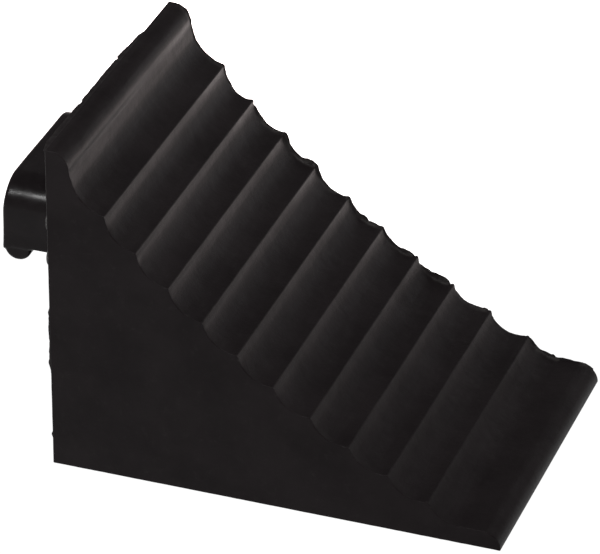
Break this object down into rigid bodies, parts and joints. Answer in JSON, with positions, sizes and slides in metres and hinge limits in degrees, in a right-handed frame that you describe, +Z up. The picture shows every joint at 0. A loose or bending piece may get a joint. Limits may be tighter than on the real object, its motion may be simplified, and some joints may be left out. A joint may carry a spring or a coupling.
{
  "type": "wheel chock",
  "caption": "Heavy moulded rubber wheel chock: a wedge with a hollow, scalloped tyre face, a flat base and a cup-shaped rubber hand grip on its upright back",
  "frame": {"origin": "on the floor, in the middle of the box round the whole chock", "axes": "+X from the grip and the upright back towards the toe, +Y across the width, +Z up from the base"},
  "size_m": [0.328, 0.199, 0.2135],
  "materials": {
    "chock_rubber": "matt black moulded rubber with a dull sheen, faint grey bloom and ragged flash along some edges",
    "grip_rubber": "smoother, slightly glossy black moulded rubber",
    "strap_steel": "rolled flat steel bar, bare apart from where rubber is bonded to it",
    "anchor_steel": "bare mild steel",
    "black_plate": "black-plated steel, slightly dulled"
  },
  "bodies": {
    "root": {"chock_body": "chock_rubber", "anchor_plate": "anchor_steel", "grip": "grip_rubber", "grip_strap": "strap_steel", "anchor_bushing_upper_left": "anchor_steel", "anchor_bushing_upper_right": "anchor_steel", "anchor_bushing_lower_left": "anchor_steel", "anchor_bushing_lower_right": "anchor_steel", "grip_washer_upper_left": "black_plate", "grip_washer_upper_right": "black_plate", "grip_washer_lower_left": "black_plate", "grip_washer_lower_right": "black_plate", "grip_screw_upper_left": "black_plate", "grip_screw_upper_right": "black_plate", "grip_screw_lower_left": "black_plate", "grip_screw_lower_right": "black_plate"}
  },
  "joints": []
}
